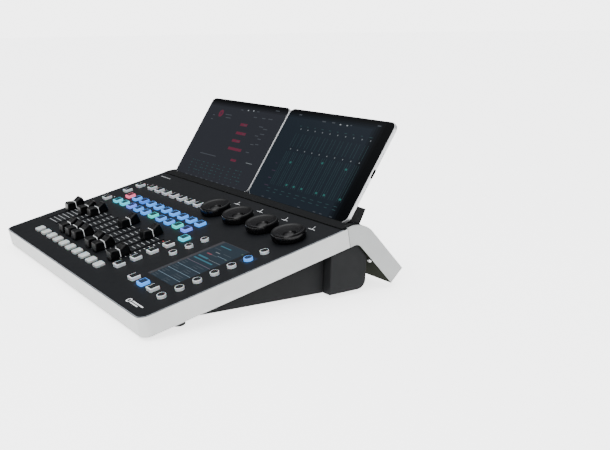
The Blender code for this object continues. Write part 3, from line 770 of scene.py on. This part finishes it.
def cap_outline():
    """The side of a fader cap: sloping ends, a low rounded front and a raised rear with a ridged slope."""
    rear = [(0.6, 0.6), (15.6, 0.6), (14.6, 7.2), (12.7, 13.4), (10.8, 14.8), (8.8, 14.8), (0.6, 10.7)]
    rear = [p for p in rounded_polygon(rear, 1.2, 3) if p[0] > 1.5 and not (p[0] < 8.4 and p[1] > 5)]
    for k in range(5):
        y, z = 7.9 - 1.35 * k, 14.25 - 0.675 * k
        rear += [(y, z), (y - 0.3, z - 0.45), (y - 0.8, z - 0.5)]
    front = [(-0.9, 10.75), (-7.6, 12.4), (-12.1, 12.2), (-13.3, 6.4), (-14.3, 0.6), (-0.9, 0.6)]
    return rear + [(0.9, 10.75), (-0.9, 10.75)] + [p for p in rounded_polygon(front, 1.9, 4) if p[0] < -1.2]


LINE_FOOT, LINE_HALF, CAP_LOW_Z = 1.6, 0.5, 10.75  # CAP_LOW_Z: height of the cap's low middle


def fader_caps():
    """The caps on their stems, each with a white line over its middle and down both sides."""
    outline = cap_outline()
    corner_x, corner_z = CAP_HALF - CAP_EDGE, CAP_LOW_Z - CAP_EDGE
    angles = [math.radians(a) for a in range(0, 91, 15)]

    def bend(lift):
        r = CAP_EDGE + lift
        return [(corner_x + r * math.cos(a), corner_z + r * math.sin(a)) for a in angles]

    right = [(CAP_HALF + 0.06, LINE_FOOT)] + bend(0.06)
    inner = bend(-0.1)[::-1] + [(CAP_HALF - 0.1, LINE_FOOT)]
    band = right + [(-a, b) for a, b in right[::-1]] + [(-a, b) for a, b in inner[::-1]] + inner
    for i, (u, y) in enumerate(zip(FADER_U, FADER_AT)):
        body = f"fader_{i + 1:02d}"
        cap = soft_prism(outline, -CAP_HALF, CAP_HALF, "x", CAP_EDGE, 6)
        cap = join(cap, box(-0.8, 0.8, -3, 3, -13.5, 3))
        at = on_panel(u, y)
        show(cap, f"{body}_cap", CAP, body=body, nodes=[body], at=at)
        bm = bmesh.new()
        loft(bm, [[(a, yy, b) for a, b in band] for yy in (-LINE_HALF, LINE_HALF)])
        show(to_object(bm), f"{body}_line", PRINT, body=body, at=at, weighted=False)


def wheels():
    """The four discs with a raised rim, a dished top, a finger dimple and a shaft."""
    profile = [(0, 0.5), (19.0, 0.5), (20.2, 1.6), (WHEEL_R, 6.2), (20.4, 9.2), (19.3, 11.1), (17.8, 11.1),
               (15.0, 10.3), (8, 9.9), (0, 9.8)]
    profile = smooth_profile(profile, {2: 0.8, 3: 1.4, 4: 0.8, 5: 0.7, 6: 0.6, 7: 1.0}, 4)
    profile = profile[:1] + [(3.0, 0.5)] + profile[1:]
    bowl = [(0, 5.2)]
    for t in (math.radians(a) for a in range(8, 90, 8)):
        bowl.append((DIMPLE_R * math.sin(t), 11.8 - 6.6 * math.cos(t)))
    bowl += [(DIMPLE_R, 16), (0, 16)]
    shaft = [(0, -10.0), (3.0, -10.0), (3.0, 2.0), (0, 2.0)]
    for i, u in enumerate(WHEEL_U):
        body = f"encoder_wheel_{i + 1}"
        wheel = cut(lathe(profile, 96), moved(lathe(bowl, 48), *DIMPLE_AT))
        wheel = join(rounded_edges(wheel, 0.7, 3, 38), lathe(shaft, 24))
        show(wheel, f"{body}_disc", WHEEL, body=body, nodes=[body],
             at=on_panel(u, WHEEL_Y), sharp=40)


# ---------------------------------------------------------------- screens


def screen_look(name, colour):
    """A colour shown by a screen."""
    return look(name, [c * 0.1 for c in colour], 0.11, specular=0.16, vary=0.08, vary_scale=60, glow=colour,
                glow_strength=1.0)


def fading(name, colour):
    """The ground colour of a picture and the steps in which it dies away at the border."""
    steps = enumerate((1.0, 0.75, 0.5, 0.3, 0.12))
    return [screen_look(f"{name}_{k}", [c * share for c in colour]) for k, share in steps]


SLATE = fading("ui_slate", (0.013, 0.019, 0.027))
SLATE_LEFT = fading("ui_slate_left", (0.024, 0.026, 0.033))
LCD_LOOKS = [screen_look(*named) for named in (
    ("ui_navy", (0.023, 0.036, 0.050)), ("ui_strip", (0.055, 0.055, 0.062)),
    ("lcd_white", (0.17, 0.19, 0.21)), ("ui_line", (0.17, 0.24, 0.30)),
    ("lcd_grey", (0.055, 0.07, 0.085)), ("ui_cyan", (0.045, 0.15, 0.20)),
    ("lcd_red", (0.22, 0.07, 0.09)), ("ui_rose", (0.15, 0.12, 0.16)), ("ui_green", (0.07, 0.13, 0.09)),
)]
MARK_LOOKS = [screen_look(*named) for named in (
    ("ui_grey", (0.062, 0.07, 0.083)), ("ui_white", (0.34, 0.37, 0.39)), ("ui_teal", (0.028, 0.13, 0.12)),
    ("ui_teal_dim", (0.028, 0.060, 0.066)), ("ui_pink", (0.13, 0.022, 0.045)),
    ("ui_plum", (0.045, 0.032, 0.055)), ("ui_dot", (0.16, 0.175, 0.19)),
)]
# places of the marks' colours in a tablet's list, after its ground colour
GREY, BRIGHT, AQUA, DIM, PINK, PLUM, DOTS, FADE = range(1, 9)


def tile(bm, x0, x1, y0, y1, z0, z1, slot):
    slab(bm, ((x0, y0), (x1, y0), (x1, y1), (x0, y1)), z0, z1, slot)


def display():
    """The small screen: a grey strip of row labels, a table of fine rows and a few coloured fields."""
    x0, x1, y0, y1 = DISPLAY
    glass = rounded_rect(x0 + 0.3, x1 - 0.3, y0 + 0.3, y1 - 0.3, 0.5, 3)
    show(soft_prism(glass, -2.9, -0.5, "z", 0.15, 2), "display_pane", GLASS,
         nodes=["display_glass"])
    navy, pale, white, line, grey, cyan, red, rose, green = range(9)
    ui = bmesh.new()
    za, zb = -0.50, -0.46
    strip, first, last = 117.6, 124.0, 174.8  # left ends of the label strip and the table, right end
    tile(ui, strip, last, 28.9, 134.2, za - 0.02, za + 0.01, navy)
    tile(ui, strip, first, 28.9, 134.2, za, za + 0.02, pale)
    tile(ui, strip, last, 133.2, 134.2, za, za + 0.02, pale)

    def mark(a0, a1, y, height, slot):
        tile(ui, a0, a1, y - height / 2, y + height / 2, za, zb, slot)

    for y in (33, 47, 52.5, 58.8, 72, 86, 99, 113):
        mark(119.0, 122.4, y, 1.6, grey)
    for y, slot in ((40, line), (53.2, line), (66, line), (79.3, rose)):
        mark(first, last, y, 0.7, slot)
    mark(150.7, 151.3, 52.7, 48, grey)
    rng = random.Random(4)
    for y in (31, 44, 57.5, 70.5):
        for start in (126.7, 153.2):
            for row in (0, 3.8):
                mark(start, start + rng.uniform(6, 16), y + row, 1.1, grey)
    fields = (
        (126.7, 166, 87.3, 2.3, cyan), (126.7, 147.4, 93.5, 2.8, cyan), (150, last, 92.7, 0.7, white),
        (131, 141, 102.8, 2.2, red), (141, 152, 102.8, 1.8, grey), (151, 171, 104.6, 0.6, line),
        (138.5, 147.5, 110, 1.4, white), (128, 150, 124, 1.8, cyan), (171.5, 174.3, 124.5, 2.0, green),
        (167.5, 170.5, 104, 1.6, green), (126.7, 140, 116.5, 1.2, grey), (152, 168, 112, 1.0, grey),
    )
    for field in fields:
        mark(*field)
    show(to_object(ui), "display_picture", LCD_LOOKS, weighted=False)


def docked_frame(x0):
    """The frame of a docked tablet: x along its foot, y up its glass, z out of it."""
    c, s = math.cos(TABLET_TILT), math.sin(TABLET_TILT)
    at = Vector((x0, TABLET_Y + TABLET_LOW * c, TABLET_LOW * s)) * MM
    return SLOPE @ Matrix.Translation(at) @ Matrix.Rotation(TABLET_TILT, 4, "X")


def tablet_body(height):
    outline = rounded_rect(0, TABLET_W, 0, height, 9, 12)
    edge = ((-TABLET_T, 4.2), (-6.35, 2.4), (-5.7, 1.1), (-4.7, 0.35), (-3.6, 0.05), (-2.9, 0.0), (-0.5, 0.0),
            (-0.12, 0.12), (0.0, 0.4))
    bm = bmesh.new()
    loft(bm, [[(a, b, z) for a, b in inset(outline, depth)] for z, depth in edge])
    return to_object(bm)


def tablets():
    """The cases with a charging port and sound holes in the right edge, the panes and their pictures."""
    height = TABLET_HIGH - TABLET_LOW
    middle, depth = height / 2, -TABLET_T / 2

    def port_outline(reach, half, radius):
        return rounded_rect(middle - reach, middle + reach, depth - half, depth + half, radius, 5)

    first = TABLET_X + TABLET_GAP / 2
    for side, x0 in (("left", first - TABLET_GAP - TABLET_W), ("right", first)):
        at, body = docked_frame(x0), f"tablet_{side}"
        case = tablet_body(height)
        tray = prism(rounded_rect(0.75, TABLET_W - 0.85, 0.45, height - 0.45, 8.3, 10), -1.1, 2)
        holes = [prism(port_outline(6.0, 1.8, 1.7), TABLET_W - 6, TABLET_W + 2, "x")]
        for k in range(5):
            for sign in (-1, 1):
                hole = circle(middle + sign * (14 + 3.2 * k), depth, 0.75, 10)
                holes.append(prism(hole, TABLET_W - 2, TABLET_W + 2, "x"))
        case = cut(case, tray, *holes)
        # a near-black insert almost flush in the port: the port's black inside and painted shade in its depth
        port = prism(port_outline(5.9, 1.7, 1.6), TABLET_W - 5.9, TABLET_W - 0.03, "x")
        show(port, f"{body}_port", PORT_DARK_AND_SHADE, body=body, at=at)
        show(case, f"{body}_shell", TABLET, body=body, nodes=[f"{body}_case"], at=at)
        pane = rounded_rect(0.9, TABLET_W - 1.0, 0.6, height - 0.6, 8.2, 10)
        show(soft_prism(pane, -0.8, -0.05, "z", 0.2, 3), f"{body}_pane", GLASS, body=body,
             nodes=[f"{body}_glass"], at=at)
        picture, slate = (left_picture, SLATE_LEFT) if side == "left" else (right_picture, SLATE)
        show(picture(), f"{body}_picture", [slate[0], *MARK_LOOKS, *slate[1:]], body=body,
             at=at, weighted=False)


ZA, ZB = -0.05, -0.03  # underside and top of the marks in a tablet's picture
COLUMN, FIRST_COLUMN = 15.0, 41.4
SIDE_STEP, TOP_STEP, TOP_START = 4.4, 2.4, 121.5  # the fading border


def ground(bm, x0, x1, fades):
    """The lit sheet of the picture, dying away in steps upwards and, over fades steps, to the right."""
    columns = [(x0, x1, 0)]
    columns += [(x1 + SIDE_STEP * k, x1 + SIDE_STEP * (k + 1), k + 1) for k in range(fades)]
    rows = [(0.9, TOP_START, 0)]
    rows += [(TOP_START + TOP_STEP * k, TOP_START + TOP_STEP * (k + 1), k + 1) for k in range(4)]
    for left, right, i in columns:
        for low, high, j in rows:
            step = max(i, j)
            tile(bm, left, right, low, high, ZA - 0.02, ZA + 0.005, FADE + step - 1 if step else 0)


def bar(bm, x0, x1, h, height, slot):
    """A mark of the picture, h up from the tablet's foot line."""
    y = h - TABLET_LOW
    tile(bm, x0, x1, y - height / 2, y + height / 2, ZA, ZB, slot)


def dot(bm, x, h, r, slot):
    slab(bm, circle(x, h - TABLET_LOW, r, 20), ZA, ZB, slot)


def right_picture():
    """Ten channel columns: dots, thin fader lines with teal handles and small marks above and below."""
    bm = bmesh.new()
    rng = random.Random(7)
    ground(bm, 0.9, 170.0, 4)
    lines = ((-5.2, 23, 73), (-1.4, 23, 73), (2.6, 23, 73), (-4.8, 80, 100), (1.0, 80, 100))
    for k in range(10):
        x = FIRST_COLUMN + COLUMN * k
        for h in (106.7, 76.6):
            dot(bm, x, h, 1.0, DOTS)
        for dx, low, high in lines:
            bar(bm, x + dx - 0.25, x + dx + 0.25, (low + high) / 2, high - low, DIM)
        bar(bm, x - 5.0, x + rng.uniform(-2, 1), 111.0, 0.8, DIM)
        bar(bm, x - 5.5, x + rng.uniform(0, 3), 17.0, 0.8, DIM)
        bar(bm, x - 5.5, x + rng.uniform(-1, 2), 12.6, 0.8, DIM)
    handles = [(55, 58.2), (114.8, 66.5), (160.5, 65.1)]
    handles += [(x, 27) for x in (70, 85.4, 101.2, 130.9, 146, 175.7)]
    for x, h in handles:
        bar(bm, x - 1.9, x + 1.9, h, 2.6, AQUA)
    for x, h, w, slot in ((26, 127.0, 6, GREY), (78.6, 122.3, 7, GREY), (97.3, 122.7, 6, GREY),
                          (111.3, 121.6, 2.6, BRIGHT), (124.1, 121.8, 2.6, BRIGHT), (131, 122.6, 3, GREY),
                          (178, 127.4, 6, GREY)):
        bar(bm, x - w / 2, x + w / 2, h, 1.5, slot)
    for x in (35, 51, 113, 144, 156, 175):
        bar(bm, x - 2.4, x + 2.4, 3.4, 1.0, GREY)
    for h in (20, 31, 42, 53):
        bar(bm, 26, rng.uniform(33, 42) - 4, h, 1.2, PLUM)
    return to_object(bm)


def left_picture():
    """A red record mark, rows of small text, red level bars and dim rows of figures at the foot."""
    bm = bmesh.new()
    rng = random.Random(11)
    ground(bm, 0.9, TABLET_W - 1.6, 0)
    dot(bm, 42.5, 110.4, 6.0, PINK)
    dot(bm, 42.5, 110.4, 2.6, PLUM)
    for x, h in ((124.6, 98), (132, 84), (127.5, 71.3), (141.6, 58.4)):
        bar(bm, 107, x, h, 4.2, PINK)
        bar(bm, x - 9, x - 2, h, 1.2, GREY)
    bar(bm, 128, 142, 41.5, 3.6, PINK)
    for x0, x1, h in ((55.6, 72.7, 110), (60, 74, 105), (22, 28, 99), (22, 28, 106), (130, 138, 112.6),
                      (151, 159, 113), (166, 176, 113.4), (154, 164, 99.6), (166, 176, 97), (165, 175, 89),
                      (155, 163, 85), (165, 173, 81), (155, 163, 71), (166, 174, 72.5), (154, 162, 58),
                      (42, 87, 41), (90, 96, 121), (131, 137, 122), (173, 182, 127.6)):
        bar(bm, x0, x1, h, 1.2, GREY)
    bar(bm, 167, 182, 42.5, 1.1, DOTS)
    for x, h in ((108.7, 121.7), (122.2, 122.3)):
        bar(bm, x - 1.4, x + 1.4, h, 1.7, BRIGHT)
    for k in range(10):
        x = 36.0 + COLUMN * k
        dot(bm, x, 8.5, 0.8, DIM)
        bar(bm, x - 4.5, x + 1.5, 2.6, 1.0, GREY)
        for h in (13, 18, 23, 28):
            start = x - 6 + rng.uniform(0, 2)
            bar(bm, start, start + rng.uniform(2.5, 5.0), h, 1.2, DIM)
            if rng.random() < 0.5:
                bar(bm, start + 6.2, start + rng.uniform(8, 10.5), h, 1.2, DIM)
    return to_object(bm)


def docked(points):
    """Points given up and behind the tablets' glass, as y and z of the slope frame."""
    c, s = math.cos(TABLET_TILT), math.sin(TABLET_TILT)
    return [(TABLET_Y + h * c + b * s, h * s - b * c) for h, b in points]


def tablet_rest():
    """The black lip, channel and back support of the tablets, reaching over the cover at both ends."""
    lip = [(235.8, -8.0), (235.8, 0.3), (236.1, 0.9), (237.0, 1.3), (249.2, 1.3)]
    side = lip + docked([(0.5, -0.4), (0.5, 7.1), (26.7, 7.1), (29.7, 20.4), (10.1, 22.6)])
    side += [(267.2, -5.4), (262.6, -2.8), (262.6, -8.0)]
    rest = prism(side, -203, 203, "x")
    front = [(235.8, -3.0)] + lip[1:4] + [(SEAM_Y - 0.2, 1.3), (SEAM_Y - 0.2, -3.0)]
    strip = prism(front, -215.4, 215.4, "x")
    floor = lip + docked([(0.5, -0.4), (0.5, 7.5)]) + [(262.6, -5.4), (262.6, -8.0)]
    end = [(239.0, -3.0), (239.0, 1.3), (245.0, 1.2), (252.0, 0.4), (258.0, -1.0), (262.6, -2.7),
           (262.6, -6.4), (243.0, -6.4), (243.0, -3.0)]
    rest = join(rest, prism(floor, -207.6, 207.6, "x"), strip, prism(end, -215.4, -203.4, "x"),
                prism(end, 206.2, 215.4, "x"))
    show(rounded_edges(rest, 0.35, 2, 30), "tablet_holder", REST, nodes=["tablet_rest"])


# ---------------------------------------------------------------- the CAD nodes that stay


def dress(names, material):
    for name in names:
        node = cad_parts[name]
        node.data.materials.clear()
        node.data.materials.append(material)


def sky():
    """A soft studio round the desk: bright overhead, dim at the sides, light from below the horizon."""
    world = bpy.data.worlds.new("studio")
    world.use_nodes = True
    tree = world.node_tree
    background = tree.nodes["Background"]
    coords = tree.nodes.new("ShaderNodeTexCoord")
    split = tree.nodes.new("ShaderNodeSeparateXYZ")
    total = tree.nodes.new("ShaderNodeMath")
    tree.links.new(coords.outputs["Generated"], split.inputs["Vector"])
    for term, ramp in zip(total.inputs, ((0.5, 0.9, 0.12, 2.3), (-0.02, -0.25, 0.0, 1.5))):
        tree.links.new(map_range(tree, split.outputs["Z"], *ramp), term)
    tree.links.new(total.outputs["Value"], background.inputs["Strength"])
    fill(background, {"Color": (0.97, 0.98, 1.0, 1)})
    bpy.context.scene.world = world


FLOOR_GLOW, BACKDROP_GLOW = 2.6, 4.6
BACKDROP_R, FLOOR_RINGS = 20000, (600, 2000, 8000, 21000)


def floor_and_backdrop():
    bm = bmesh.new()
    loft(bm, [[(x, y, 0) for x, y in circle(0, 0, r, 96)] for r in FLOOR_RINGS], close_ends=False)
    bm.faces.new(list(bm.verts)[:96])
    floor = to_object(bm, "floor")
    floor.data.materials.append(look("floor", (0.92, 0.92, 0.92), 0.8, specular=0.05, vary=0.01, vary_scale=3,
                                     glow=(1, 1, 1), glow_strength=FLOOR_GLOW))
    floor.visible_diffuse = floor.visible_shadow = False
    bm = bmesh.new()
    loft(bm, [[(x, y, z) for x, y in circle(0, 0, BACKDROP_R, 96)] for z in (-500, 14000)], close_ends=False)
    backdrop = to_object(bm, "backdrop")
    backdrop.data.materials.append(look("backdrop", (0.0, 0.0, 0.0), 1.0, specular=0.0, glow=(1, 1, 1),
                                        glow_strength=BACKDROP_GLOW))
    backdrop.visible_diffuse = backdrop.visible_glossy = backdrop.visible_shadow = False


def add_light(name, kind, towards, **values):
    """A light on the side that towards points to."""
    data = bpy.data.lights.new(name, kind)
    for key, value in values.items():
        setattr(data, key, value)
    light = bpy.data.objects.new(name, data)
    light.rotation_euler = Vector(towards).to_track_quat("Z", "Y").to_euler()
    bpy.context.scene.collection.objects.link(light)
    return light


def lights():
    """A wide sun from the front right, a wider one from above and a soft box for the glints."""
    add_light("key", "SUN", (0.62, -0.60, 0.50), angle=math.radians(50), energy=0.85)
    add_light("top", "SUN", (-0.1, -0.2, 0.97), angle=math.radians(70), energy=2.1)
    spot, aim = Vector((0.78, -0.82, 0.62)), Vector((0.15, -0.08, 0.05))
    softbox = add_light("softbox", "AREA", spot - aim, size=0.55, energy=6.0)
    softbox.location = spot
    softbox.visible_camera = False


def add_camera():
    camera = bpy.data.objects.new("camera", bpy.data.cameras.new("camera"))
    camera.location = (0.89582, -0.50877, 0.31521)
    camera.rotation_euler = (1.311462, 0.014654, 1.060659)
    camera.data.lens, camera.data.sensor_width = 46.96, 36.0
    camera.data.shift_x, camera.data.shift_y = 0.20878, 0.01405
    camera.data.clip_start = 0.01
    bpy.context.scene.collection.objects.link(camera)
    bpy.context.scene.camera = camera


floor_and_backdrop()
sky()
lights()
add_camera()
front_frame()
rear_cover()
base_housing()
rear_housing()
feet_and_screws()
top_panel()
panel_marks()
keys()
fader_caps()
wheels()
display()
tablet_rest()
tablets()
dress(["power_inlet", "network_socket", "power_switch"], SOCKET_BLACK)
dress(["usb_socket", "dmx_socket_a", "dmx_socket_b"], SOCKET_METAL)
dress(["key_board", "fader_board", "main_board"], BOARD)
dress(["display_module", "power_supply"], STEEL)
